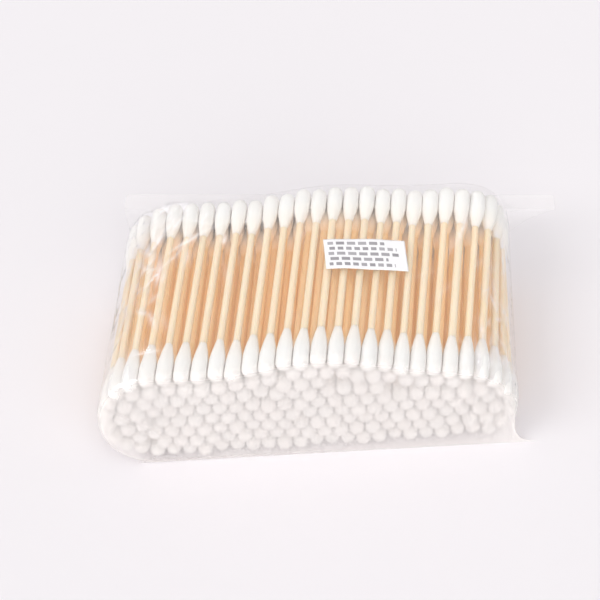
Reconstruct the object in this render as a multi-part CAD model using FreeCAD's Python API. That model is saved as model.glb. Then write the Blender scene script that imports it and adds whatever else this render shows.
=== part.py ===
import FreeCAD, Part
import math
import os
import random

# Cotton swab pack: bamboo swabs with a bud of wound cotton at each end, lying side by side in a heap
# that a sealed bag of clear film holds together, with a plain paper label on the film.
# Millimetres. X runs along the heap, Y along the swabs (front is -Y) and Z is up from the table.

# One swab
swab_length = 75.0
stick_diameter = 2.5
bud_diameter = 5.1
bud_length = 14.0
bud_neck_diameter = 2.7
bud_shoulder_length = 8.0
bud_nose_length = 2.4
bud_tip_diameter = 2.6
bud_gap = 0.08

# The heap at its front end, as the centres of its outermost swabs.
# Heights are above the centres of the bottom row.
bottom_left = 57.3
bottom_right = 52.0
left_bulge = 72.4
left_bulge_height = 15.5
left_shoulder = 68.0
left_shoulder_height = 28.6
left_crown = 42.0
left_crown_height = 32.2
crown_x = -6.0
crown_height = 36.4
right_crown = 28.0
right_crown_height = 29.2
right_shoulder = 51.5
right_shoulder_height = 21.6
right_bulge = 58.2
right_bulge_height = 10.5
rear_rise = 9.5

# How the swabs' ends line up
stagger = 0.125
face_lean = 0.165
tip_scatter = 0.7
settle_seed = 5
settle_rounds = 120
settle_reach = 1.02
fill_reach = 1.0
largest_hole = 4.1

# The film bag
film_thickness = 0.12
film_gap = 0.35
end_gap = 1.1
foot_spread = 1.0
end_rounding = 3.0
end_inset = 1.5
fold_left = 64.0
fold_right = 69.0
fold_reach = 3.0
fold_thickness = 0.4
seal_left = 79.5
seal_right = 79.5
seal_height = 17.0
seal_distance = 54.0
seal_width = 7.0
seal_skew = 0.042
seal_thickness = 0.3
fold_margin = 1.0
touching_length = 4.0
ear_depth = 3.0
ear_root = 8.0

# The paper label
label_width = 27.4
label_depth = 12.6
label_thickness = 0.1
label_x = 9.0
label_y = 12.0
label_turn = 6.5
label_bends = 6
label_lift = 0.25

bud_radius = bud_diameter / 2
pitch = bud_diameter + bud_gap
row_rise = pitch * math.sqrt(3) / 2
base_height = film_thickness + film_gap + bud_radius


def edge_curve(rise):
    """Curve through the outermost centres, up the right side, over the crown and down the left side."""
    corners = [
        (bottom_right, 0),
        (right_bulge, right_bulge_height),
        (right_shoulder, right_shoulder_height + rise),
        (right_crown, right_crown_height + rise * right_crown / right_shoulder),
        (crown_x, crown_height),
        (-left_crown, left_crown_height),
        (-left_shoulder, left_shoulder_height),
        (-left_bulge, left_bulge_height),
        (-bottom_left, 0),
    ]
    curve = Part.BSplineCurve()
    curve.interpolate([FreeCAD.Vector(x, 0, base_height + height) for x, height in corners])
    return curve.toShape()


def evenly_along(curve, count):
    """Points (x, z) at equal steps along the curve, without its two ends."""
    return [(p.x, p.z) for p in curve.discretize(Number=count + 2)[1:-1]]


def inside(point, loop):
    """True if the point lies inside the closed polygon."""
    x, z = point
    crossings = 0
    for (xa, za), (xb, zb) in zip(loop, loop[1:] + loop[:1]):
        if (za > z) != (zb > z) and x < xa + (z - za) * (xb - xa) / (zb - za):
            crossings += 1
    return crossings % 2 == 1


def nearest(point, others):
    """Distance from a point to the nearest of the others."""
    return min(math.dist(point, other) for other in others)


def spread(free, fixed, reach):
    """Push the free centres apart, and away from the fixed ones, until no two are closer than a reach."""
    free = [list(point) for point in free]
    for _ in range(settle_rounds):
        moves = [[0.0, 0.0] for _ in free]
        for i, (x, z) in enumerate(free):
            for j in range(i + 1, len(free)):
                dx, dz = free[j][0] - x, free[j][1] - z
                if abs(dx) < reach and abs(dz) < reach:
                    gap = math.hypot(dx, dz)
                    if 0 < gap < reach:
                        push = (reach - gap) / gap / 2
                        moves[i][0] -= dx * push
                        moves[i][1] -= dz * push
                        moves[j][0] += dx * push
                        moves[j][1] += dz * push
            for xf, zf in fixed:
                dx, dz = x - xf, z - zf
                if abs(dx) < reach and abs(dz) < reach:
                    gap = math.hypot(dx, dz)
                    if 0 < gap < reach:
                        moves[i][0] += dx * (reach - gap) / gap
                        moves[i][1] += dz * (reach - gap) / gap
        for point, move in zip(free, moves):
            point[0] += move[0] * 0.5
            point[1] += move[1] * 0.5
    return [tuple(point) for point in free]


def tightest(free, fixed):
    """The free centre that is squeezed most, as (its nearest distance, its index)."""
    squeeze = []
    for i, point in enumerate(free):
        others = free[:i] + free[i + 1:] + fixed
        squeeze.append((nearest(point, others), i))
    return min(squeeze)


def emptiest(points, loop):
    """The place inside the loop that lies furthest from every centre, as (distance, x, z)."""
    places = []
    for i in range(int(-left_bulge), int(right_bulge) + 1):
        for j in range(int(base_height), int(base_height + crown_height)):
            if inside((i, j), loop):
                places.append((nearest((i, j), points), i, j))
    return max(places)


def fill_holes(free, fixed, loop):
    """Add swabs in the holes of the heap, as long as the rest can make room for them."""
    while True:
        hole, x, z = emptiest(free + fixed, loop)
        if hole < largest_hole:
            return free
        moved = spread(free + [(x, z)], fixed, pitch * fill_reach)
        if tightest(moved, fixed)[0] < bud_diameter:
            return free
        free = moved


def settle():
    """Centres of all swabs at the front and at the back of the heap, in rows with names.

    The outermost swabs lie at equal steps along the film. Inside them a hexagonal stack is laid in
    rows from the bottom up and spread until nothing overlaps. A swab without room is taken out, and
    the holes that are left are filled where the heap can give way.
    """
    front_edge, back_edge = edge_curve(0), edge_curve(rear_rise)
    bottom_count = int((bottom_left + bottom_right) / pitch) + 1
    step = (bottom_left + bottom_right) / (bottom_count - 1)
    bottom = [(-bottom_left + step * i, base_height) for i in range(bottom_count)]
    edge_count = int(front_edge.Length / (pitch * 1.01)) - 1
    front_ring = evenly_along(front_edge, edge_count)
    back_ring = evenly_along(back_edge, edge_count)
    front_fixed = bottom + front_ring

    loop = bottom + front_ring
    free = []
    for row in range(1, int(crown_height / row_rise) + 1):
        z = base_height + row * row_rise
        for i in range(-4, bottom_count + 4):
            x = -bottom_left + step * (i + (row % 2) / 2)
            if inside((x, z), loop) and nearest((x, z), front_fixed) > pitch * 0.72:
                free.append((x, z))
    while True:
        free = spread(free, front_fixed, pitch * settle_reach)
        gap, squeezed = tightest(free, front_fixed)
        if gap >= bud_diameter:
            break
        del free[squeezed]
    free = fill_holes(free, front_fixed, loop)

    rise = [(back[0] - front[0], back[1] - front[1]) for front, back in zip(front_ring, back_ring)]
    back_free = []
    for x, z in free:
        near = min(range(edge_count), key=lambda i: abs(front_ring[i][0] - x) - front_ring[i][1] / 100)
        share = (z - base_height) / (front_ring[near][1] - base_height)
        back_free.append((x + rise[near][0] * share, z + rise[near][1] * share))
    back_free = spread(back_free, bottom + back_ring, pitch * settle_reach)

    rows = {"bottom_row": list(zip(bottom, bottom))}
    names = ["", "second", "third", "fourth", "fifth", "sixth", "seventh", "eighth", "ninth"]
    for front, back in zip(free, back_free):
        row = max(1, round((front[1] - base_height) / row_rise))
        rows.setdefault(names[row] + "_row", []).append((front, back))
    for front, back in zip(front_ring, back_ring):
        low = front[1] < base_height + right_shoulder_height
        side = "left_side" if front[0] < 0 else "right_side"
        rows.setdefault(side if low else "top_row", []).append((front, back))
    return rows, front_ring, back_ring


def circle_points(radius, count, y):
    """Corners of a regular polygon across the Y axis, counted the same way round for every polygon."""
    angles = [2 * math.pi * i / count for i in range(count)]
    return [FreeCAD.Vector(radius * math.cos(a), y, radius * math.sin(a)) for a in angles]


def join_rings(lower, upper):
    """Faces between two rings of corners, where one may have twice as many corners as the other."""
    if len(lower) == len(upper):
        corners = zip(lower, lower[1:] + lower[:1], upper[1:] + upper[:1], upper)
        return [list(corner) for corner in corners]
    few, many = (lower, upper) if len(lower) < len(upper) else (upper, lower)
    faces = []
    for i, corner in enumerate(few):
        before, at, after = many[2 * i - 1], many[2 * i], many[(2 * i + 1) % len(many)]
        faces.append([corner, before, at])
        faces.append([corner, at, after])
        faces.append([corner, after, few[(i + 1) % len(few)]])
    return faces


def solid_of(faces):
    """Solid bounded by flat faces, each a list of corners."""
    shell = Part.Shell([Part.Face(Part.makePolygon(face + face[:1])) for face in faces])
    solid = Part.Solid(shell)
    if solid.Volume < 0:
        solid.reverse()
    return solid


def turned_solid(profile):
    """Faceted solid along Y from (y, radius, sides) rings, closed by a flat face at both ends."""
    rings = [circle_points(radius, sides, y) for y, radius, sides in profile]
    faces = [rings[0], rings[-1]]
    for lower, upper in zip(rings, rings[1:]):
        faces += join_rings(lower, upper)
    return solid_of(faces)


def make_bud(open_to_view):
    """Cotton bud from its neck at y = 0 to its tip at y = bud_length."""
    neck, tip = bud_neck_diameter / 2, bud_tip_diameter / 2
    nose_start = bud_length - bud_nose_length
    if open_to_view:
        profile = [(0, neck, 6), (bud_shoulder_length, bud_radius, 6), (nose_start, bud_radius, 6)]
    else:
        profile = [(0, neck, 3), ((bud_shoulder_length + nose_start) / 2, bud_radius, 6)]
    return turned_solid(profile + [(bud_length, tip, 3)])


def make_stick(open_to_view):
    """Bamboo stick between the two buds, centred on the origin along Y."""
    half = swab_length / 2 - bud_length
    sides = 6 if open_to_view else 3
    return turned_solid([(-half, stick_diameter / 2, sides), (half, stick_diameter / 2, sides)])


def tip_plane(x, z):
    """Y of the front tips at a place in the heap, before their scatter."""
    return -swab_length / 2 + stagger * x + face_lean * (z - base_height)


def export(shapes, name, origin):
    """Write one sub-part, moved so that the pack's reference point is at the origin."""
    group = Part.Compound(shapes)
    group.translate(origin)
    group.exportStep("parts/" + name + ".step")


def place_swabs(name, row, scatter, origin):
    """Write one row of swabs as three groups of solids: sticks, front buds and back buds."""
    open_to_view = name in ("top_row", "left_side", "right_side")
    stick, bud = make_stick(open_to_view), make_bud(open_to_view)
    sticks, front_buds, back_buds = [], [], []
    for front, back in row:
        start = FreeCAD.Vector(front[0], 0, front[1])
        way = FreeCAD.Vector(back[0] - front[0], swab_length, back[1] - front[1])
        start.y = tip_plane(*front) + scatter.uniform(-tip_scatter, tip_scatter)
        way.normalize()
        spin = FreeCAD.Rotation(FreeCAD.Vector(0, 1, 0), scatter.uniform(0, 360))
        forward = FreeCAD.Rotation(FreeCAD.Vector(0, 1, 0), way)
        backward = FreeCAD.Rotation(FreeCAD.Vector(0, 1, 0), -way)
        middle = start + way * (swab_length / 2)
        front_neck = start + way * bud_length
        back_neck = start + way * (swab_length - bud_length)
        places = [
            (sticks, stick, FreeCAD.Placement(middle, forward * spin)),
            (front_buds, bud, FreeCAD.Placement(front_neck, backward * spin)),
            (back_buds, bud, FreeCAD.Placement(back_neck, forward * spin)),
        ]
        for group, shape, placement in places:
            piece = shape.copy()
            piece.Placement = placement
            group.append(piece)
    export(sticks, name + "_sticks", origin)
    export(front_buds, name + "_front_buds", origin)
    export(back_buds, name + "_back_buds", origin)


def corner_swabs(ring):
    """Which outermost swabs bend the film: each one round the tight sides, every second on the crown."""
    loop = [(bottom_right, base_height)] + ring + [(-bottom_left, base_height)]
    chosen = []
    for i in range(1, len(loop) - 1):
        tx, tz = loop[i + 1][0] - loop[i - 1][0], loop[i + 1][1] - loop[i - 1][1]
        if abs(tz) > 0.2 * math.hypot(tx, tz) or i % 2 == 0:
            chosen.append(i)
    return chosen


def film_corners(ring, chosen):
    """Corners of the film round the heap: (centre x, centre z, outward x, outward z, foot).

    The first and last corners are at the feet, where the film lies on the table.
    """
    loop = [(bottom_right, base_height)] + ring + [(-bottom_left, base_height)]
    corners = [(bottom_right + foot_spread, base_height, 0.0, -1.0, 1)]
    for i in chosen:
        tx, tz = loop[i + 1][0] - loop[i - 1][0], loop[i + 1][1] - loop[i - 1][1]
        length = math.hypot(tx, tz)
        corners.append((loop[i][0], loop[i][1], tz / length, -tx / length, 0))
    corners.append((-bottom_left - foot_spread, base_height, 0.0, -1.0, -1))
    return corners


def film_section(corners, reach, inset, y_at):
    """Film corners at a distance from the swab centres, with Y given by a function of x and z.

    An inset draws the section in, as the film rounds the ends of the heap, but not off the table.
    """
    section = []
    for x, z, nx, nz, foot in corners:
        out = reach if foot else reach - inset
        px, pz = x + nx * out, z + nz * out
        section.append(FreeCAD.Vector(px, y_at(px, pz), pz))
    return section


def flat_section(corners, ends, left, right, heights, y_at):
    """The same corners pressed flat into a strip from -left to right.

    ends are the corners that become its right and left end, the corners between them go to the upper
    side and the rest to the lower one. heights are those of the lower side, the ends and the upper side.
    """
    count = len(corners)
    upper = list(range(ends[0], ends[1] + 1))
    lower = list(range(ends[1], ends[0] + count + 1))
    section = [None] * count
    for side, height in ((upper, heights[2]), (lower, heights[0])):
        walk = [0.0]
        for i, j in zip(side, side[1:]):
            a, b = corners[i % count], corners[j % count]
            walk.append(walk[-1] + math.dist(a[:2], b[:2]))
        for i, gone in zip(side, walk):
            share = gone / walk[-1]
            x = right - share * (left + right) if side is upper else -left + share * (left + right)
            section[i % count] = FreeCAD.Vector(x, y_at(x), height)
    for i in ends:
        section[i].z = heights[1]
    return section


def skin(sections):
    """Solid with triangles between sections that have the same number of corners.

    The triangles on the right half mirror those on the left, so that both sides fold alike.
    """
    faces = [sections[0], sections[-1]]
    for near, far in zip(sections, sections[1:]):
        for i in range(len(near)):
            j = (i + 1) % len(near)
            if i < len(near) // 2:
                faces += [[near[i], near[j], far[j]], [near[i], far[j], far[i]]]
            else:
                faces += [[near[i], near[j], far[i]], [near[j], far[j], far[i]]]
    return solid_of(faces)


def seal_line(x):
    """Y of the seal's front edge, which isn't quite square to the swabs."""
    return seal_distance + seal_skew * x


def bag_body(front, back, wall):
    """Closed body of the bag, from its front fold to its back seal, drawn in by a wall's thickness.

    Near the ends of the fold and of the seal the two layers of film touch, so the drawn-in body, which
    is the space inside, ends a little short of them.
    """
    reach = bud_radius + film_gap + film_thickness - wall
    near_tip = tip_scatter + end_gap + film_thickness - wall

    def front_y(setback):
        return lambda x, z: tip_plane(x, z) - near_tip + setback

    def back_y(setback):
        return lambda x, z: tip_plane(x, z) + swab_length + near_tip - setback

    def fold_y(x):
        return tip_plane(x, base_height) - fold_reach + 2 * wall

    xs = [corner[0] for corner in back]
    feet, sides = (0, len(front) - 1), (xs.index(max(xs)), xs.index(min(xs)))
    half_seal = seal_thickness / 2 - wall
    seal_heights = (seal_height - half_seal, seal_height, seal_height + half_seal)
    ends = touching_length if wall else 0
    return skin([
        flat_section(
            front, feet, bottom_left + fold_margin - ends, bottom_right + fold_margin - ends,
            (wall, wall, fold_thickness - wall), fold_y,
        ),
        film_section(front, reach, end_inset, front_y(0)),
        film_section(front, reach, 0, front_y(end_rounding)),
        film_section(back, reach, 0, back_y(end_rounding)),
        film_section(back, reach, end_inset, back_y(0)),
        flat_section(
            back, sides, reach - min(xs) - ends, max(xs) + reach - ends,
            seal_heights, lambda x: seal_line(x) - ends / 2,
        ),
    ])


def flat_sheet(outline, low, thickness):
    """Flat piece of film with the outline's (x, y) corners, from a height up."""
    corners = [FreeCAD.Vector(x, y, low) for x, y in outline]
    return Part.Face(Part.makePolygon(corners + corners[:1])).extrude(FreeCAD.Vector(0, 0, thickness))


def make_bag(front, back):
    """Film bag: the hollow body, the flat seal behind it with its ears, and two ears on the table."""
    body = bag_body(front, back, 0)
    left_line, right_line = seal_line(-seal_left), seal_line(seal_right)
    heap_right = max(corner[0] for corner in back)
    seal = flat_sheet(
        [
            (-seal_left, left_line), (-seal_left, left_line + seal_width),
            (seal_right, right_line + seal_width), (seal_right, right_line - ear_depth),
            (heap_right + bud_radius / 2, seal_line(heap_right) - ear_root),
            (heap_right, seal_line(heap_right)),
        ],
        seal_height - seal_thickness / 2, seal_thickness,
    )
    ears = []
    for foot, tip in ((bottom_right, fold_right), (-bottom_left, -fold_left)):
        front_edge = tip_plane(foot, base_height) - fold_reach + 2 * film_thickness
        tip_edge = front_edge + stagger * (tip - foot)
        outline = [(foot, front_edge), (tip, tip_edge), (tip, tip_edge + 1), (foot, front_edge + ear_root)]
        ears.append(flat_sheet(outline, 0, fold_thickness))
    return body.fuse([seal] + ears).removeSplitter().cut(bag_body(front, back, film_thickness))


def make_label(bag):
    """Paper label lying a little turned on the film over the crown, bent as the film bends."""
    turn = math.radians(label_turn)
    rings = []
    for i in range(label_bends + 1):
        along = label_width * (i / label_bends - 0.5)
        edges = []
        for across in (-label_depth / 2, label_depth / 2):
            x = label_x + along * math.cos(turn) - across * math.sin(turn)
            y = label_y + along * math.sin(turn) + across * math.cos(turn)
            plumb = Part.makeLine(FreeCAD.Vector(x, y, 0), FreeCAD.Vector(x, y, 2 * crown_height))
            edges.append(FreeCAD.Vector(x, y, plumb.common(bag).BoundBox.ZMax + label_lift))
        upper = [edge + FreeCAD.Vector(0, 0, label_thickness) for edge in edges]
        rings.append([edges[0], edges[1], upper[1], upper[0]])
    return skin(rings)


def main():
    os.makedirs("parts", exist_ok=True)
    rows, front_ring, back_ring = settle()
    chosen = corner_swabs(front_ring)
    front, back = film_corners(front_ring, chosen), film_corners(back_ring, chosen)
    bag = make_bag(front, back)
    middle = bag.BoundBox.Center
    origin = FreeCAD.Vector(-middle.x, -middle.y, 0)
    print("film volume", round(bag.Volume), "mm3, valid", bag.isValid(), "origin moved by", origin)
    export([bag], "film_bag", origin)
    export([make_label(bag)], "paper_label", origin)
    scatter = random.Random(settle_seed)
    for name, row in rows.items():
        place_swabs(name, row, scatter, origin)
        print(name, len(row), "swabs")


main()
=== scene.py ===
import bpy
import numpy as np
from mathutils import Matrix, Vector


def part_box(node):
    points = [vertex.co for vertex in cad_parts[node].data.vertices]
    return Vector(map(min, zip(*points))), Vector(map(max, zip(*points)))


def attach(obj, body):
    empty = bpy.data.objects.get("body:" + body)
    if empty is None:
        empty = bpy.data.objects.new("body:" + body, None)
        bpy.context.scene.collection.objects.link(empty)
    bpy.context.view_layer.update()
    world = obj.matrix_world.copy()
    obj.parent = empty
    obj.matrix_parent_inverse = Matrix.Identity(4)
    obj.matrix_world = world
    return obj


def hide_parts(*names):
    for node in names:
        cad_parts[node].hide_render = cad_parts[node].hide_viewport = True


# Cotton swab pack: bamboo swabs heaped side by side in a sealed bag of clear film, with a paper label.
# Metres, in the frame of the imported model: X along the heap, Y along the swabs, Z up.

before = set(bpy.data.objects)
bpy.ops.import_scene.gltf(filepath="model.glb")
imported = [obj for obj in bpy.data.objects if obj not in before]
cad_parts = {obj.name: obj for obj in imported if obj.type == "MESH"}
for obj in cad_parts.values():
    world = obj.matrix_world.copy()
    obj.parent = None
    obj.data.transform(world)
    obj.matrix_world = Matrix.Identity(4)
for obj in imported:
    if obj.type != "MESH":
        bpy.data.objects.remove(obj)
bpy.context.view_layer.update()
print("frame loaded,", len(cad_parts), "nodes")


# Shared helpers

def linear(hexColour):
    # sRGB hex to linear: c / 12.92 when dark, else ((c + 0.055) / 1.055) to the power 2.4
    channels = [int(hexColour[i:i + 2], 16) / 255 for i in (1, 3, 5)]
    return [c / 12.92 if c <= 0.04045 else ((c + 0.055) / 1.055) ** 2.4 for c in channels] + [1.0]


def newMaterial(name):
    material = bpy.data.materials.new(name)
    material.use_nodes = True
    material.node_tree.nodes.clear()
    return material


def addNode(tree, kind, inputs=None, **settings):
    # Adds a node, with its settings, and fills its inputs with values or links
    node = tree.nodes.new(kind)
    for name, value in settings.items():
        setattr(node, name, value)
    for name, value in (inputs or {}).items():
        if isinstance(value, bpy.types.NodeSocket):
            tree.links.new(value, node.inputs[name])
        else:
            node.inputs[name].default_value = value
    return node


def mixColour(tree, factor, first, second):
    # The colour between two hex colours, or colour sockets, at a factor
    ends = [linear(end) if isinstance(end, str) else end for end in (first, second)]
    mix = addNode(tree, "ShaderNodeMix", {0: factor, 6: ends[0], 7: ends[1]}, data_type="RGBA")
    return mix.outputs[2]


def mathNode(tree, operation, first, second, clamp=False):
    # The socket of a sum, product, power or comparison of two values
    node = addNode(tree, "ShaderNodeMath", {0: first, 1: second}, operation=operation, use_clamp=clamp)
    return node.outputs[0]


def cornersOf(node):
    # All corners of a node's mesh as rows of x, y, z
    corners = np.empty(len(node.data.vertices) * 3, np.float32)
    node.data.vertices.foreach_get("co", corners)
    return corners.reshape(-1, 3).astype(float)


def makePiece(name, points, faces, material, node, uv=None, tone=None):
    # Mesh object in place, smooth but for its sharp edges, with a UV map and tones where they are given
    mesh = bpy.data.meshes.new(name)
    mesh.from_pydata(points.tolist(), [], faces)
    mesh.validate()
    corner = np.empty(len(mesh.loops), np.int32)
    mesh.loops.foreach_get("vertex_index", corner)
    if uv is not None:
        mesh.uv_layers.new(name="UVMap").data.foreach_set("uv", uv[corner].ravel())
    if tone is not None:
        mesh.attributes.new("tone", "FLOAT", "POINT").data.foreach_set("value", tone)
    mesh.polygons.foreach_set("use_smooth", np.ones(len(mesh.polygons), bool))
    mesh.set_sharp_from_angle(angle=np.radians(60))
    mesh.materials.append(material)
    mesh.update()
    piece = bpy.data.objects.new(name, mesh)
    bpy.context.scene.collection.objects.link(piece)
    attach(piece, "root")
    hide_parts(node)
    return piece


# Materials

def cottonMaterial():
    # Bleached cotton, wound on and pressed: matt, near white, with fine fibres that run round the bud. It
    # is thin near the stick and takes on a little of the bamboo's colour there; in the rows inside the heap
    # that warm tint is much stronger, as painted shade, and near the stick the cotton also has a painted
    # glow.
    # Fibre marks are about 0.13 mm apart along the bud and 1.4 mm long round it, and fluff is about 1.1 mm.
    material = newMaterial("bleached_cotton")
    tree = material.node_tree
    place = addNode(tree, "ShaderNodeTexCoord")
    fibreWay = addNode(tree, "ShaderNodeMapping", {"Vector": place.outputs["UV"], "Scale": (3.0, 30.0, 1.0)})
    fibres = addNode(tree, "ShaderNodeTexNoise", {
        "Vector": fibreWay.outputs["Vector"], "Scale": 4.0, "Detail": 4.0, "Roughness": 0.6})
    fluff = addNode(tree, "ShaderNodeTexNoise", {
        "Vector": place.outputs["Object"], "Scale": 900.0, "Detail": 3.0})
    tone = addNode(tree, "ShaderNodeAttribute", attribute_name="tone")
    shade = mathNode(tree, "MULTIPLY", fibres.outputs["Fac"], 0.35)
    amount = mathNode(tree, "ADD", shade, tone.outputs["Fac"])
    white = mixColour(tree, amount, "#FDFAF7", "#F7EFEB")
    parts = addNode(tree, "ShaderNodeSeparateXYZ", {0: place.outputs["UV"]})
    innerRowPaintedShadeAndGlow = addNode(tree, "ShaderNodeAttribute", attribute_name="innerRowPaintedShadeAndGlow")
    strength = mathNode(tree, "ADD", mathNode(tree, "MULTIPLY", innerRowPaintedShadeAndGlow.outputs["Fac"], 0.75), 0.2)
    paintedNeckShadeAndGlow = addNode(tree, "ShaderNodeMapRange", {
        "Value": parts.outputs[1], "From Min": 0.0, "From Max": 0.6, "To Min": strength, "To Max": 0.0})
    # Near the neck the cotton is tinted towards bamboo colour: a little on the outer rows, as thin cotton
    # over the stick, and much more on the inner rows, where the tint is painted shade and warm bounce light
    colour = mixColour(tree, paintedNeckShadeAndGlow.outputs[0], white, "#EFD0A8")
    # Painted glow: near the stick the cotton gives out light of its own colour, most on the inner rows
    passed = mathNode(tree, "MULTIPLY", paintedNeckShadeAndGlow.outputs[0], 0.2)
    rough = mathNode(tree, "ADD", fibres.outputs["Fac"], fluff.outputs["Fac"])
    bump = addNode(tree, "ShaderNodeBump", {"Height": rough, "Strength": 0.35, "Distance": 0.00015})
    cotton = addNode(tree, "ShaderNodeBsdfPrincipled", {
        "Base Color": colour, "Roughness": 0.95, "Sheen Weight": 0.25, "Sheen Roughness": 0.5,
        "Specular IOR Level": 0.15, "Subsurface Weight": 0.8, "Subsurface Radius": (0.002, 0.002, 0.002),
        "Subsurface Scale": 1.0, "Normal": bump.outputs["Normal"],
        "Emission Color": colour, "Emission Strength": passed})
    addNode(tree, "ShaderNodeOutputMaterial", {"Surface": cotton.outputs[0]})
    return material


def bambooMaterial():
    # Split bamboo, turned round and sanded: pale cream with fine grain lines along the stick, satin. Its
    # tone differs at random from stick to stick, the sticks of the inner rows are given a deeper, more
    # orange tone as painted shade, and all sticks have a painted glow of their own colour, strongest on the
    # inner rows.
    # Grain lines are about 0.4 mm apart and 13 mm long, and paler and darker patches about 3 mm wide.
    material = newMaterial("sanded_bamboo")
    tree = material.node_tree
    place = addNode(tree, "ShaderNodeTexCoord")
    grainWay = addNode(tree, "ShaderNodeMapping", {
        "Vector": place.outputs["Object"], "Scale": (1.0, 0.03, 1.0)})
    grain = addNode(tree, "ShaderNodeTexNoise", {
        "Vector": grainWay.outputs["Vector"], "Scale": 2600.0, "Detail": 3.0, "Roughness": 0.6})
    patches = addNode(tree, "ShaderNodeTexNoise", {
        "Vector": grainWay.outputs["Vector"], "Scale": 350.0, "Detail": 2.0})
    tone = addNode(tree, "ShaderNodeAttribute", attribute_name="tone")
    patch = mathNode(tree, "MULTIPLY", mathNode(tree, "SUBTRACT", patches.outputs["Fac"], 0.5), 0.5)
    # The tone attribute is higher on the inner rows' sticks, which deepens their colour as painted shade;
    # the patches and the tone within a row differ at random
    amount = mathNode(tree, "ADD", patch, tone.outputs["Fac"], True)
    body = mixColour(tree, amount, "#F9E7CC", "#F3D0A0")
    lines = addNode(tree, "ShaderNodeMapRange", {
        "Value": grain.outputs["Fac"], "From Min": 0.55, "From Max": 0.8, "To Min": 0.0, "To Max": 0.25})
    colour = mixColour(tree, lines.outputs[0], body, "#D9AE74")
    bump = addNode(tree, "ShaderNodeBump", {
        "Height": grain.outputs["Fac"], "Strength": 0.2, "Distance": 0.00005})
    # Painted glow: each stick gives out light of its own colour, the more the deeper its tone, so most on
    # the inner rows
    passed = mathNode(tree, "MULTIPLY", tone.outputs["Fac"], 0.15)
    bamboo = addNode(tree, "ShaderNodeBsdfPrincipled", {
        "Base Color": colour, "Roughness": 0.5, "Specular IOR Level": 0.35, "Normal": bump.outputs["Normal"],
        "Subsurface Weight": 0.5, "Subsurface Radius": (0.001, 0.0008, 0.0006), "Subsurface Scale": 1.0,
        "Emission Color": colour, "Emission Strength": passed})
    addNode(tree, "ShaderNodeOutputMaterial", {"Surface": bamboo.outputs[0]})
    return material


def filmMaterial():
    # Clear polypropylene film, blown and heat-sealed: it shows what is behind it, and its glossy skin
    # mirrors the room a little when seen from the front and a lot at a low angle, from either side. Its
    # crinkles are about 7 mm apart. Higher creases come with the mesh, which gives their shine.
    material = newMaterial("clear_polypropylene_film")
    tree = material.node_tree
    place = addNode(tree, "ShaderNodeTexCoord")
    crinkle = addNode(tree, "ShaderNodeTexNoise", {
        "Vector": place.outputs["Object"], "Scale": 150.0, "Detail": 3.0, "Roughness": 0.5,
        "Distortion": 0.8})
    bump = addNode(tree, "ShaderNodeBump", {
        "Height": crinkle.outputs["Fac"], "Strength": 0.4, "Distance": 0.0006})
    clear = addNode(tree, "ShaderNodeBsdfTransparent", {"Color": (0.99, 0.99, 0.99, 1.0)})
    gloss = addNode(tree, "ShaderNodeBsdfGlossy", {
        "Color": (1.0, 1.0, 1.0, 1.0), "Roughness": 0.2, "Normal": bump.outputs["Normal"]})
    tone = addNode(tree, "ShaderNodeAttribute", attribute_name="tone")
    lit = addNode(tree, "ShaderNodeBsdfDiffuse", {"Color": linear("#FFFBF9")})
    glow = addNode(tree, "ShaderNodeBsdfTranslucent", {"Color": linear("#FFFBF9")})
    haze = addNode(tree, "ShaderNodeMixShader", {0: 0.15, 1: lit.outputs[0], 2: glow.outputs[0]})
    slant = addNode(tree, "ShaderNodeLayerWeight", {"Blend": 0.5, "Normal": bump.outputs["Normal"]})
    rise = mathNode(tree, "POWER", slant.outputs["Facing"], 5.0)
    smooth = mathNode(tree, "ADD", mathNode(tree, "MULTIPLY", rise, 0.7), 0.035)
    shine = addNode(tree, "ShaderNodeAttribute", attribute_name="shine")
    creased = mathNode(tree, "MULTIPLY", mathNode(tree, "POWER", shine.outputs["Fac"], 1.5), 0.9)
    mirror = mathNode(tree, "ADD", smooth, creased, True)
    skin = addNode(tree, "ShaderNodeMixShader", {0: mirror, 1: clear.outputs[0], 2: gloss.outputs[0]})
    both = addNode(tree, "ShaderNodeMixShader", {
        0: tone.outputs["Fac"], 1: skin.outputs[0], 2: haze.outputs[0]})
    addNode(tree, "ShaderNodeOutputMaterial", {"Surface": both.outputs[0]})
    return material


labelPrint = {                  # all in millimetres
    "paper": (27.4, 12.6),
    "margin": (1.3, 0.85),
    "rowHeight": 2.2,
    "rows": 5,
    "barLength": 3.7,
    "barGap": 0.52,
    "shortestLine": 19.0,
    "lineSpread": 5.0,
}


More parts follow.
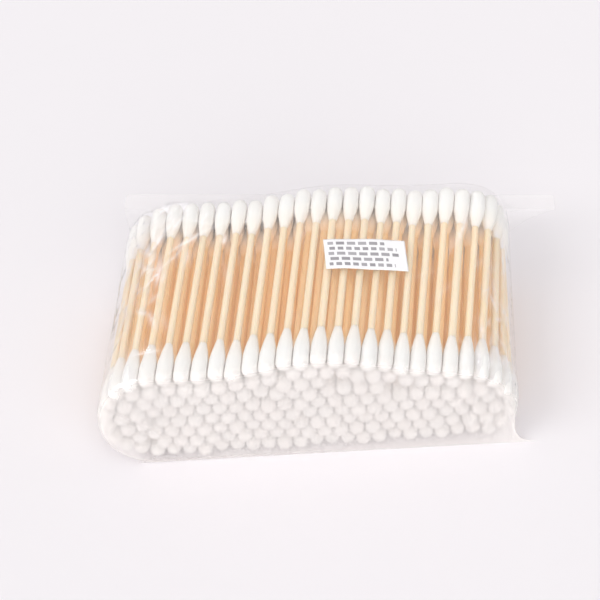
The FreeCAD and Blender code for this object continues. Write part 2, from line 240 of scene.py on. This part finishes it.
def labelMaterial():
    # Coated label paper, printed: semi-matt white with rows of plain grey bars, some long and some short.
    # The pattern is laid out in millimetres from the lower left bar.
    material = newMaterial("printed_label_paper")
    tree = material.node_tree
    place = addNode(tree, "ShaderNodeTexCoord")
    inMillimetres = addNode(tree, "ShaderNodeMapping", {
        "Vector": place.outputs["UV"], "Location": (-labelPrint["margin"][0], -labelPrint["margin"][1], 0.0),
        "Scale": (*labelPrint["paper"], 1.0)})
    bars = addNode(tree, "ShaderNodeTexBrick", {
        "Vector": inMillimetres.outputs[0], "Color1": linear("#9A979B"), "Color2": linear("#B4B1B5"),
        "Mortar": linear("#FBF9FB"), "Scale": 1.0, "Mortar Size": labelPrint["barGap"], "Mortar Smooth": 0.2,
        "Brick Width": labelPrint["barLength"], "Row Height": labelPrint["rowHeight"]},
        offset=0.37, squash=0.75, squash_frequency=3)
    parts = addNode(tree, "ShaderNodeSeparateXYZ", {0: inMillimetres.outputs[0]})
    row = mathNode(tree, "FLOOR", mathNode(tree, "DIVIDE", parts.outputs[1], labelPrint["rowHeight"]), 0.0)
    chance = addNode(tree, "ShaderNodeTexWhiteNoise", {"W": row}, noise_dimensions="1D")
    longer = mathNode(tree, "MULTIPLY", chance.outputs["Value"], labelPrint["lineSpread"])
    lineEnd = mathNode(tree, "ADD", longer, labelPrint["shortestLine"])
    inLine = mathNode(tree, "LESS_THAN", parts.outputs[0], lineEnd)
    started = mathNode(tree, "GREATER_THAN", parts.outputs[0], 0.0)
    above = mathNode(tree, "GREATER_THAN", parts.outputs[1], 0.0)
    below = mathNode(tree, "LESS_THAN", parts.outputs[1], labelPrint["rows"] * labelPrint["rowHeight"])
    printed = mathNode(tree, "MULTIPLY", mathNode(tree, "MULTIPLY", inLine, started),
                       mathNode(tree, "MULTIPLY", above, below))
    colour = mixColour(tree, printed, "#FBF9FB", bars.outputs["Color"])
    paper = addNode(tree, "ShaderNodeBsdfPrincipled", {
        "Base Color": colour, "Roughness": 0.45, "Specular IOR Level": 0.4})
    addNode(tree, "ShaderNodeOutputMaterial", {"Surface": paper.outputs[0]})
    return material


materials = {
    "cotton": cottonMaterial(),
    "bamboo": bambooMaterial(),
    "film": filmMaterial(),
    "label": labelMaterial(),
}
print("materials made:", ", ".join(materials))


# Swabs

swab = {
    "length": 0.075,
    "budLength": 0.014,
    "stickRadius": 0.00125,
    "stickSides": 8,
    "stickOverlap": 0.0008,     # how far the stick goes into each bud
    "neckRadius": 0.0012,
    "bellyRadius": (0.0025, 0.0031),  # a bud swells to half the way to its neighbours, within these
    "neighbours": 3,
    "collar": 0.0012,           # how far the cotton runs onto the stick
    "shoulder": 0.5,            # share of the bud's length where it reaches its full width
    "nose": 0.2,                # share of the bud's length that is rounded off at the tip
    "bluntness": 2.6,           # power of the nose's superellipse: 2 is round, more is blunter
    "budSides": 10,
    "unevenness": 0.03,         # of the buds' radius
    "stickUnevenness": 0.04,    # of the sticks' radius, from one to the next
    "lowest": 0.0001,           # height at which the lowest buds are pressed flat
    "tipTint": 0.45,            # how much deeper the cotton's tone is at the very tip
    "tintFrom": 0.7,            # share of the bud's length where that starts
    "tintOver": 0.3,            # and over which it grows
    "budTones": 0.3,            # how much the tone differs between buds
    "outerRows": ("top_row", "left_side", "right_side"),
    "outerTones": (0.0, 0.25),  # 0 is the palest bamboo and 1 the deepest
    # the inner rows' sticks get deeper tones than the outer rows' sticks, as painted shade
    "innerPaintedShadeTones": (0.7, 1.0),
    "seed": 11,
}


def stickEnds(node):
    # Each stick is a loose solid of the node. Corners at one place are welded, each triangle passes its
    # lowest corner number on until nothing changes, and a stick's ends are the means of its front corners
    # and of its back corners.
    places, welded = np.unique(np.round(cornersOf(node), 6), axis=0, return_inverse=True)
    corner = np.empty(len(node.data.loops), np.int32)
    node.data.loops.foreach_get("vertex_index", corner)
    triangles = welded.ravel()[corner].reshape(-1, 3)
    label = np.arange(len(places))
    settled = False
    while not settled:
        passed = label.copy()
        np.minimum.at(passed, triangles.ravel(), np.repeat(label[triangles].min(axis=1), 3))
        settled = (passed == label).all()
        label = passed
    stick = np.unique(label, return_inverse=True)[1].ravel()
    count = stick.max() + 1
    middle = np.bincount(stick, places[:, 1]) / np.bincount(stick)
    ends = []
    for atEnd in (places[:, 1] < middle[stick], places[:, 1] > middle[stick]):
        number = np.bincount(stick[atEnd], minlength=count)
        sums = [np.bincount(stick[atEnd], places[atEnd, k], count) for k in range(3)]
        ends.append(np.stack([total / number for total in sums], 1))
    return ends


def crossAxes(way):
    # Two unit vectors across each way: the first level, the second upwards
    across = np.cross(way, [0.0, 0.0, 1.0])
    across /= np.linalg.norm(across, axis=1, keepdims=True)
    return across, np.cross(across, way)


def ringFaces(rings, sides, copies):
    # Quads between neighbouring rings and a flat face at both ends, for copies of a closed tube
    i, j = np.meshgrid(np.arange(rings - 1), np.arange(sides), indexing="ij")
    quad = np.stack([i * sides + j, i * sides + (j + 1) % sides,
                     (i + 1) * sides + (j + 1) % sides, (i + 1) * sides + j], -1).reshape(-1, 4)
    first = np.arange(sides)[::-1]
    last = np.arange(sides) + (rings - 1) * sides
    faces = []
    for copy in range(copies):
        start = copy * rings * sides
        faces += (quad + start).tolist() + [(first + start).tolist(), (last + start).tolist()]
    return faces


def sweptTubes(base, way, along, radius, sides):
    # A point of a tube is its base + along * way + radius * (cos of the angle across + sin of it upwards).
    # along and radius have one value for each tube, ring and side.
    across, upwards = crossAxes(way)
    angle = np.linspace(0, 2 * np.pi, sides, endpoint=False)
    spoke = (across[:, None, None] * np.cos(angle)[None, None, :, None]
             + upwards[:, None, None] * np.sin(angle)[None, None, :, None])
    points = base[:, None, None] + along[..., None] * way[:, None, None] + radius[..., None] * spoke
    return points.reshape(-1, 3)


def makeSticks(name, front, back, random):
    way = (back - front) / np.linalg.norm(back - front, axis=1, keepdims=True)
    count, sides = len(way), swab["stickSides"]
    half = swab["length"] / 2 - swab["budLength"] + swab["stickOverlap"]
    along = np.broadcast_to(np.array([-half, half])[None, :, None], (count, 2, sides))
    uneven = 1 + swab["stickUnevenness"] * random.standard_normal((count, 1, 1))
    radius = np.full((count, 2, sides), swab["stickRadius"]) * uneven
    points = sweptTubes((front + back) / 2, way, along, radius, sides)
    # Sticks of the inner rows get the deeper tones, which paint shade on them
    low, high = swab["outerTones"] if name in swab["outerRows"] else swab["innerPaintedShadeTones"]
    tone = np.repeat(random.uniform(low, high, count), 2 * sides)
    makePiece(name + "_bamboo", points, ringFaces(2, sides, count), materials["bamboo"],
              name + "_sticks", tone=tone)


def bellies(ends):
    # Radius of each bud: half the mean distance to its nearest neighbours in X and Z
    tips = ends[:, [0, 2]]
    distance = np.linalg.norm(tips[:, None] - tips[None], axis=2)
    nearest = np.sort(distance, axis=1)[:, 1:1 + swab["neighbours"]]
    return np.clip(nearest.mean(axis=1) / 2, *swab["bellyRadius"])


def makeBuds(name, side, neck, way, belly, random):
    # From the neck a bud swells to its belly by five quarters of the way along the shoulder less a quarter
    # of that way cubed, and over the nose it closes as a superellipse. Low waves round it and along it make
    # it uneven, and the lowest buds are pressed flat on the floor.
    share = np.array([0.0, 0.15, 0.32, 0.5, 0.8, 0.91, 0.97, 0.995])
    wayUp = np.clip(share / swab["shoulder"], 0, 1)
    swell = (5 * wayUp - wayUp ** 3) / 4
    close = np.clip((share - 1 + swab["nose"]) / swab["nose"], 0, 1)
    profile = swab["neckRadius"] + (belly[:, None] - swab["neckRadius"]) * swell
    profile = profile * (1 - close ** swab["bluntness"]) ** (1 / swab["bluntness"])
    count, rings, sides = len(way), len(share), swab["budSides"]
    angle = np.linspace(0, 2 * np.pi, sides, endpoint=False)
    phase = random.uniform(0, 2 * np.pi, (count, 1, 1, 3))
    wave = (np.sin(angle[None, None, :] + 3 * share[None, :, None] + phase[..., 0])
            + 0.7 * np.sin(2 * angle[None, None, :] - 5 * share[None, :, None] + phase[..., 1])
            + 0.6 * np.sin(7 * share[None, :, None] + phase[..., 2]))
    radius = profile[:, :, None] * (1 + swab["unevenness"] * (wave - 0.3) / 2)
    length = share * (swab["budLength"] + swab["collar"]) - swab["collar"]
    along = np.broadcast_to(length[None, :, None], radius.shape)
    points = sweptTubes(neck, way, along, radius, sides)
    points[:, 2] = np.maximum(points[:, 2], swab["lowest"])
    uv = np.stack(np.broadcast_arrays(angle[None, None, :] / (2 * np.pi), share[None, :, None],), -1)
    uv = np.broadcast_to(uv, (count, rings, sides, 2)).reshape(-1, 2)
    tip = np.clip((share - swab["tintFrom"]) / swab["tintOver"], 0, 1)[None, :, None] * swab["tipTint"]
    tone = tip + random.uniform(0, swab["budTones"], (count, 1, 1))
    tone = np.broadcast_to(tone, (count, rings, sides)).ravel()
    end = name + "_" + side
    piece = makePiece(end + "_cotton", points, ringFaces(rings, sides, count), materials["cotton"],
                      end + "_buds", uv, tone)
    # The inner rows' buds carry the painted warm shade and the painted glow near the stick at full strength
    if name not in swab["outerRows"]:
        piece.data.attributes.new("innerRowPaintedShadeAndGlow", "FLOAT", "POINT").data.foreach_set("value", np.ones(len(points)))


def makeSwabs():
    random = np.random.default_rng(swab["seed"])
    rows = sorted(node[:-len("_sticks")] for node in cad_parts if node.endswith("_sticks"))
    necks = {row: stickEnds(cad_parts[row + "_sticks"]) for row in rows}
    ways = {row: (back - front) / np.linalg.norm(back - front, axis=1, keepdims=True)
            for row, (front, back) in necks.items()}
    bud = {row: swab["budLength"] * ways[row] for row in rows}
    tips = {row: (necks[row][0] - bud[row], necks[row][1] + bud[row]) for row in rows}
    belly = [bellies(np.vstack([tips[row][end] for row in rows])) for end in (0, 1)]
    done = 0
    for row in rows:
        front, back = necks[row]
        these = slice(done, done + len(front))
        makeSticks(row, front, back, random)
        makeBuds(row, "front", front, -ways[row], belly[0][these], random)
        makeBuds(row, "back", back, ways[row], belly[1][these], random)
        done += len(front)
        print(row, len(front), "swabs")
    return tips


swabEnds = makeSwabs()
print("swabs made,", sum(len(front) for front, back in swabEnds.values()))


# Film bag

film = {
    "clearance": 0.0032,        # from the centre of an outermost swab to the film
    "columns": 340,             # points round the bag
    "step": 0.0009,             # between rings along the bag
    "endGap": 0.0014,           # from the plane of the tips to the film, at the front and at the back
    "rounding": 0.003,          # how far from its ends the bag starts to draw in
    "endInset": 0.0014,
    "foldReach": (0.0008, 0.003),  # in front of the tips, at the left end and at the right end
    "foldLeft": 0.064,
    "foldRight": 0.069,
    "foldThickness": 0.0003,
    "sealHeight": 0.017,
    "sealWidth": 0.007,
    "sealSkew": 0.042,
    "sealThickness": 0.0002,
    # Where the film is slack: x, y, spread along the bag and round it, number and height of creases
    "slack": {
        "left shoulder": (-0.067, 0.002, 0.018, 0.007, 110, 0.0009),
        "left rear": (-0.056, 0.022, 0.010, 0.010, 30, 0.0008),
        "right shoulder": (0.056, -0.008, 0.022, 0.006, 70, 0.0009),
        "right front": (0.058, -0.036, 0.008, 0.009, 30, 0.0009),
        "everywhere": (0.0, 0.0, 0.045, 0.09, 90, 0.0003),
    },
    "slackAbove": 0.012,        # height above which such a place is looked for, on the bag's upper side
    "creaseTurn": 0.6,          # how far creases turn away from running along the bag, in radians
    "creaseSizes": (0.3, 1.0),  # share of a place's height that its creases have
    "creaseReach": (0.002, 0.008),
    "creaseWidth": (0.0005, 0.0015),
    "haze": 0.03,               # how milky the film is where it lies smooth
    "frontHaze": 0.45,          # and how much more where it is drawn in over the front tips
    "frontHazeStart": 0.0008,   # in front of the place where the bag starts to draw in
    "frontHazeDepth": 0.0025,   # until it is full
    "cornerHaze": 0.15,         # and more still at the two front corners
    "cornerMiddle": -0.003,     # X halfway between those corners
    "cornerStart": (0.045, 0.02),     # from how far to the side it starts, and over what width it grows
    "cornerFront": (-0.028, 0.008),   # the same from this Y to the front
    "sealHaze": 0.05,
    "sealRings": 9,
    "sealCreases": 0.15,        # share of the creases' height that the flat seal keeps
    "foldRings": 3,             # rings at the front fold that have no crease
    "labelRoom": 1.6,           # creases lie flat up to 1 / this of the label's box from its middle
    "loopPasses": 8,            # rounds of smoothing round the bag
    "lengthPasses": 6,          # and along it
    "foldEdge": 0.004,          # over which a pressed layer closes at its two ends
    "lowest": 0.00003,          # the film's height on the floor
    "spare": 0.0003,            # how far the film may stand outside the CAD model's box
    "shineHeight": 0.0009,      # a crease this high mirrors the room most
    "dulled": 0.8,              # share of that shine which the haze at the front takes away
    "seed": 4,
}


def smoothed(points, passes, closed):
    # Each pass moves a point halfway to the mean of its neighbours; the ends of an open row stay
    for _ in range(passes):
        moved = points / 2 + (np.roll(points, 1, 0) + np.roll(points, -1, 0)) / 4
        if not closed:
            moved[0], moved[-1] = points[0], points[-1]
        points = moved
    return points


def resampled(points, count):
    # Points at equal steps along a closed loop
    loop = np.vstack([points, points[:1]])
    gone = np.concatenate([[0], np.cumsum(np.linalg.norm(np.diff(loop, axis=0), axis=1))])
    wanted = np.linspace(0, gone[-1], count, endpoint=False)
    return np.stack([np.interp(wanted, gone, loop[:, k]) for k in range(loop.shape[1])], 1)


def outerLoop(which):
    # X and Z of the outermost swabs at one end of the heap, in order round it from the bottom right
    names = ("bottom_row", "right_side", "top_row", "left_side")
    centres = np.vstack([swabEnds[name][which] for name in names])[:, [0, 2]]
    middle = centres.mean(axis=0)
    low = swabEnds["bottom_row"][which][:, [0, 2]]
    corner = low[low[:, 0].argmax()] - middle
    angle = np.arctan2(centres[:, 1] - middle[1], centres[:, 0] - middle[0])
    angle = angle - np.arctan2(corner[1], corner[0])
    return centres[np.argsort((angle + 1e-6) % (2 * np.pi))]


def tipPlane(which):
    # Least squares plane through the tips at one end of the heap, as a function that gives Y at X and Z
    tips = np.vstack([swabEnds[name][which] for name in sorted(swabEnds)])
    sides = np.stack([np.ones(len(tips)), tips[:, 0], tips[:, 2]], 1)
    level, slope, lean = np.linalg.lstsq(sides, tips[:, 1], rcond=None)[0]
    return lambda x, z: level + slope * x + lean * z


def pushedOut(loop, distance):
    # A loop moved outwards by a distance, across the line between each point's neighbours
    along = np.roll(loop, -1, 0) - np.roll(loop, 1, 0)
    along /= np.linalg.norm(along, axis=1, keepdims=True)
    return loop + np.stack([along[:, 1], -along[:, 0]], 1) * distance


def ringAt(loop, distance, plane, offset):
    # One ring of the film in 3D: the loop pushed out, at an offset in front of or behind the tips
    x, z = pushedOut(loop, distance).T
    z = np.maximum(z, film["lowest"])
    return np.stack([x, plane(x, z) + offset, z], 1)


def flatRing(loop, first, last, left, right, low, high, yAt):
    # The ring pressed flat: columns from first to last spread over the upper layer from right to left by
    # their share of the way, and the others over the lower layer back to the right
    count = len(loop)
    order = (np.arange(count) + first) % count
    split = (last - first) % count
    gone = np.concatenate([[0], np.cumsum(np.linalg.norm(np.diff(loop[order], axis=0), axis=1))])
    total = gone[-1] + np.linalg.norm(loop[order[0]] - loop[order[-1]])
    share = gone / gone[split]
    back = (gone - gone[split]) / (total - gone[split])
    upper = np.arange(count) <= split
    x = np.where(upper, right - share * (left + right), back * (left + right) - left)
    edge = np.minimum(1, np.minimum(x + left, right - x) / film["foldEdge"])
    z = np.where(upper, low + (high - low) * edge, low)
    ring = np.empty((count, 3))
    ring[order] = np.stack([x, yAt(x), z], 1)
    return ring


def creaseField(points, around, along, random):
    # Height of the film's creases: each is a ridge whose height falls off exponentially to its sides and as
    # a bell curve along it. Where ridges cross, the higher one counts. A slack place is centred on the point
    # of the film nearest to it. Adding a metre to the distance of low points keeps them out.
    height = np.zeros(points.shape[:2])
    for x, y, lengthSpread, roundSpread, count, size in film["slack"].values():
        distance = np.hypot(points[..., 0] - x, points[..., 1] - y) + (points[..., 2] < film["slackAbove"])
        row, column = np.unravel_index(distance.argmin(), distance.shape)
        for _ in range(count):
            da = around - around[0, column] - random.normal(0, roundSpread)
            dl = along - along[row, 0] - random.normal(0, lengthSpread)
            turn = random.normal(np.pi / 2, film["creaseTurn"])
            ahead = da * np.cos(turn) + dl * np.sin(turn)
            across = dl * np.cos(turn) - da * np.sin(turn)
            reach, width = random.uniform(*film["creaseReach"]), random.uniform(*film["creaseWidth"])
            tall = size * random.uniform(*film["creaseSizes"])
            ridge = tall * np.exp(-np.abs(across) / width - (ahead / reach) ** 2)
            height = np.maximum(height, ridge)
    return height


def hazeOf(points, frontRing):
    # How milky each point of the film is: more at the front, most at its two corners, and in the seal
    x, y = points[..., 0], points[..., 1]
    front = np.clip((y[frontRing] - y - film["frontHazeStart"]) / film["frontHazeDepth"], 0, 1)
    side, sideWidth = film["cornerStart"]
    near, nearDepth = film["cornerFront"]
    atSide = np.clip((np.abs(x - film["cornerMiddle"]) - side) / sideWidth, 0, 1)
    corner = atSide * np.clip((near - y) / nearDepth, 0, 1)
    haze = film["haze"] + film["frontHaze"] * front + film["cornerHaze"] * corner
    haze[-film["sealRings"]:] += film["sealHaze"]
    return haze, front


def makeFilm():
    # The bag is a row of rings from the front fold to the back seal, joined by straight lines that are then
    # smoothed along the bag, with creases raised along its normals
    random = np.random.default_rng(film["seed"])
    frontPlane, backPlane = tipPlane(0), tipPlane(1)
    loops = [smoothed(resampled(outerLoop(which), film["columns"]), film["loopPasses"], True)
             for which in (0, 1)]
    reach, inset = film["clearance"], film["clearance"] - film["endInset"]
    low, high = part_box("film_bag")
    corner = swabEnds["bottom_row"][0]
    leftFoot = np.argmin(np.hypot(loops[0][:, 0] - corner[:, 0].min(), loops[0][:, 1] - corner[0, 2]))

    def foldY(x):
        reaches = np.interp(x, [-film["foldLeft"], film["foldRight"]], film["foldReach"])
        return frontPlane(x, corner[0, 2]) - reaches

    def sealY(x):
        return high.y - film["sealWidth"] + film["sealSkew"] * (x - high.x)

    fold = flatRing(loops[0], 0, leftFoot, film["foldLeft"], film["foldRight"],
                    film["lowest"], film["foldThickness"], foldY)
    seal = [flatRing(loops[1], loops[1][:, 0].argmax(), loops[1][:, 0].argmin(), -low.x, high.x,
                     film["sealHeight"], film["sealHeight"] + film["sealThickness"],
                     lambda x: sealY(x) + wide) for wide in (0, film["sealWidth"])]
    rings = [
        fold,
        ringAt(loops[0], inset, frontPlane, -film["endGap"]),
        ringAt(loops[0], reach, frontPlane, film["rounding"] - film["endGap"]),
        ringAt(loops[1], reach, backPlane, film["endGap"] - film["rounding"]),
        ringAt(loops[1], inset, backPlane, film["endGap"]),
        seal[0],
    ]
    rows = []
    for near, far in zip(rings, rings[1:]):
        steps = max(3, int(np.linalg.norm(far - near, axis=1).mean() / film["step"]))
        share = np.arange(steps)[:, None, None] / steps
        rows.append(near + (far - near) * share)
    points = smoothed(np.vstack(rows + [seal[0][None]]), film["lengthPasses"], False)
    band = np.arange(1, film["sealRings"])[:, None, None] / (film["sealRings"] - 1)
    points = np.vstack([points, seal[0] + (seal[1] - seal[0]) * band])

    around = np.linalg.norm(np.diff(points[len(points) // 2], axis=0), axis=1)
    around = np.concatenate([[0], np.cumsum(around)])[None, :]
    along = np.linalg.norm(np.diff(points.mean(axis=1), axis=0), axis=1)
    along = np.concatenate([[0], np.cumsum(along)])[:, None]
    height = creaseField(points, around, along, random)
    labelLow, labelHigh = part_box("paper_label")
    dx = (points[..., 0] - (labelLow.x + labelHigh.x) / 2) / (labelHigh.x - labelLow.x)
    dy = (points[..., 1] - (labelLow.y + labelHigh.y) / 2) / (labelHigh.y - labelLow.y)
    height *= 1 - np.exp(-(dx * film["labelRoom"]) ** 4 - (dy * film["labelRoom"]) ** 4)
    du = np.roll(points, -1, 1) - np.roll(points, 1, 1)
    dv = np.gradient(points, axis=0)
    normal = np.cross(du, dv)
    normal /= np.linalg.norm(normal, axis=2, keepdims=True) + 1e-12
    quiet = np.ones(len(points))
    quiet[-film["sealRings"]:] = film["sealCreases"]
    quiet[:film["foldRings"]] = 0
    points = points + normal * (height * quiet[:, None])[..., None]
    points = points.clip([v - film["spare"] for v in low], [v + film["spare"] for v in high])
    points[..., 2] = np.maximum(points[..., 2], film["lowest"])
    rings, columns = points.shape[:2]
    faces = [face[::-1] for face in ringFaces(rings, columns, 1)]
    uv = np.stack(np.broadcast_arrays(around, along), -1).reshape(-1, 2)
    haze, front = hazeOf(points, len(rows[0]) + len(rows[1]))
    piece = makePiece("clear_film_bag", points.reshape(-1, 3), faces, materials["film"],
                      "film_bag", uv, haze.ravel())
    shine = np.clip(height * quiet[:, None] / film["shineHeight"], 0, 1) * (1 - film["dulled"] * front)
    piece.data.attributes.new("shine", "FLOAT", "POINT").data.foreach_set("value", shine.ravel())
    print("film made,", rings, "rings of", columns)
    return points


filmPoints = makeFilm()


# Paper label

label = {
    "width": 0.0274,
    "depth": 0.0126,
    "turn": 6.5,                # degrees
    "columns": 56,
    "rows": 26,
    "lift": 0.00012,            # above the film
    "wave": 0.00018,
    "thickness": 0.0001,
    "searched": 0.004,          # how far round the label the film's points are looked at
    "above": 0.02,              # and from what height, which leaves out the film underneath
    "blend": 0.0014,            # width of the bell curve that weights them
}


def makeLabel():
    # A grid over the label's place. Each point's height is the mean of the film's points near it, weighted
    # by a bell curve of their distance, and low waves run across the paper.
    low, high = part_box("paper_label")
    u, v = np.meshgrid(np.linspace(0, 1, label["columns"]), np.linspace(0, 1, label["rows"]))
    ahead, up = (u - 0.5) * label["width"], (v - 0.5) * label["depth"]
    turn = np.radians(label["turn"])
    x = (low.x + high.x) / 2 + ahead * np.cos(turn) - up * np.sin(turn)
    y = (low.y + high.y) / 2 + ahead * np.sin(turn) + up * np.cos(turn)
    cloud = filmPoints.reshape(-1, 3)
    room = label["searched"]
    acrossLabel = (cloud[:, 0] > low.x - room) & (cloud[:, 0] < high.x + room)
    alongLabel = (cloud[:, 1] > low.y - room) & (cloud[:, 1] < high.y + room)
    cloud = cloud[acrossLabel & alongLabel & (cloud[:, 2] > label["above"])]
    squared = (x[..., None] - cloud[:, 0]) ** 2 + (y[..., None] - cloud[:, 1]) ** 2
    weight = np.exp(-squared / label["blend"] ** 2)
    z = (weight * cloud[:, 2]).sum(axis=2) / weight.sum(axis=2) + label["lift"]
    z = z + label["wave"] * (1 + np.sin(9 * u + 2 * v)) * np.sin(np.pi * u)
    index = np.arange(x.size).reshape(x.shape)
    faces = np.stack([index[:-1, :-1], index[:-1, 1:], index[1:, 1:], index[1:, :-1]], -1).reshape(-1, 4)
    uv = np.stack([u, v], -1).reshape(-1, 2)
    piece = makePiece("paper_label_sheet", np.stack([x, y, z], -1).reshape(-1, 3), faces.tolist(),
                      materials["label"], "paper_label", uv)
    wall = piece.modifiers.new("thickness", "SOLIDIFY")
    wall.thickness = label["thickness"]
    wall.offset = 1
    print("label made")


makeLabel()


# Floor, light and camera

studio = {
    "floorColour": "#F0ECEF",
    "backdropColour": "#F5F1F4",
    "skyLight": 0.33,
    "floorReach": 30.0,         # metres from the middle, so that its edge is out of sight
    # Each lamp: where it shines from, how much it adds to a surface that faces it, how soft it is in degrees
    "lamps": {
        "key": ((-0.8, -0.3, 0.7), 0.36, 35),
        "overhead": ((0.1, -0.15, 1.0), 0.19, 40),
        "front_fill": ((0.3, -1.0, 0.4), 0.49, 90),
        "back_fill": ((0.1, 1.0, 0.8), 0.15, 80),
        "glint": ((-0.35, 0.2, 0.9), 0.02, 4),
    },
}

camera = {
    "place": (-0.0016, -0.2496, 0.3438),
    "ahead": (-0.027, 0.611, -0.791),
    "lens": 71.4,
}


def makeFloor():
    size = studio["floorReach"]
    points = np.array([[-size, -size, 0], [size, -size, 0], [size, size, 0], [-size, size, 0]])
    mesh = bpy.data.meshes.new("floor")
    mesh.from_pydata(points.tolist(), [], [(0, 1, 2, 3)])
    floor = bpy.data.objects.new("floor", mesh)
    bpy.context.scene.collection.objects.link(floor)
    material = newMaterial("white_table")
    table = addNode(material.node_tree, "ShaderNodeBsdfDiffuse", {"Color": linear(studio["floorColour"])})
    addNode(material.node_tree, "ShaderNodeOutputMaterial", {"Surface": table.outputs[0]})
    mesh.materials.append(material)


def makeLight():
    # The world lights evenly and shows the backdrop's colour only to the camera and in reflections
    world = bpy.data.worlds.new("studio")
    bpy.context.scene.world = world
    world.use_nodes = True
    tree = world.node_tree
    tree.nodes.clear()
    rays = addNode(tree, "ShaderNodeLightPath")
    seen = mathNode(tree, "ADD", rays.outputs["Is Camera Ray"], rays.outputs["Is Glossy Ray"])
    seen = mathNode(tree, "ADD", seen, rays.outputs["Is Transmission Ray"], True)
    sky = addNode(tree, "ShaderNodeBackground", {
        "Color": (1.0, 1.0, 1.0, 1.0), "Strength": studio["skyLight"]})
    backdrop = addNode(tree, "ShaderNodeBackground", {
        "Color": linear(studio["backdropColour"]), "Strength": 1.0})
    both = addNode(tree, "ShaderNodeMixShader", {0: seen, 1: sky.outputs[0], 2: backdrop.outputs[0]})
    addNode(tree, "ShaderNodeOutputWorld", {"Surface": both.outputs[0]})
    for name, (place, strength, softness) in studio["lamps"].items():
        lamp = bpy.data.lights.new(name, "SUN")
        lamp.energy = strength * np.pi
        lamp.angle = np.radians(softness)
        holder = bpy.data.objects.new(name, lamp)
        bpy.context.scene.collection.objects.link(holder)
        holder.location = place
        holder.rotation_euler = Vector(place).to_track_quat("Z", "Y").to_euler()


def makeCamera():
    lens = bpy.data.cameras.new("camera")
    lens.lens = camera["lens"]
    lens.sensor_width = 36
    lens.clip_start = 0.01
    seer = bpy.data.objects.new("camera", lens)
    bpy.context.scene.collection.objects.link(seer)
    seer.location = camera["place"]
    seer.rotation_euler = Vector(camera["ahead"]).to_track_quat("-Z", "Y").to_euler()
    bpy.context.scene.camera = seer


makeFloor()
makeLight()
makeCamera()
bpy.context.scene.view_settings.view_transform = "Standard"
print("stage, light and camera set")
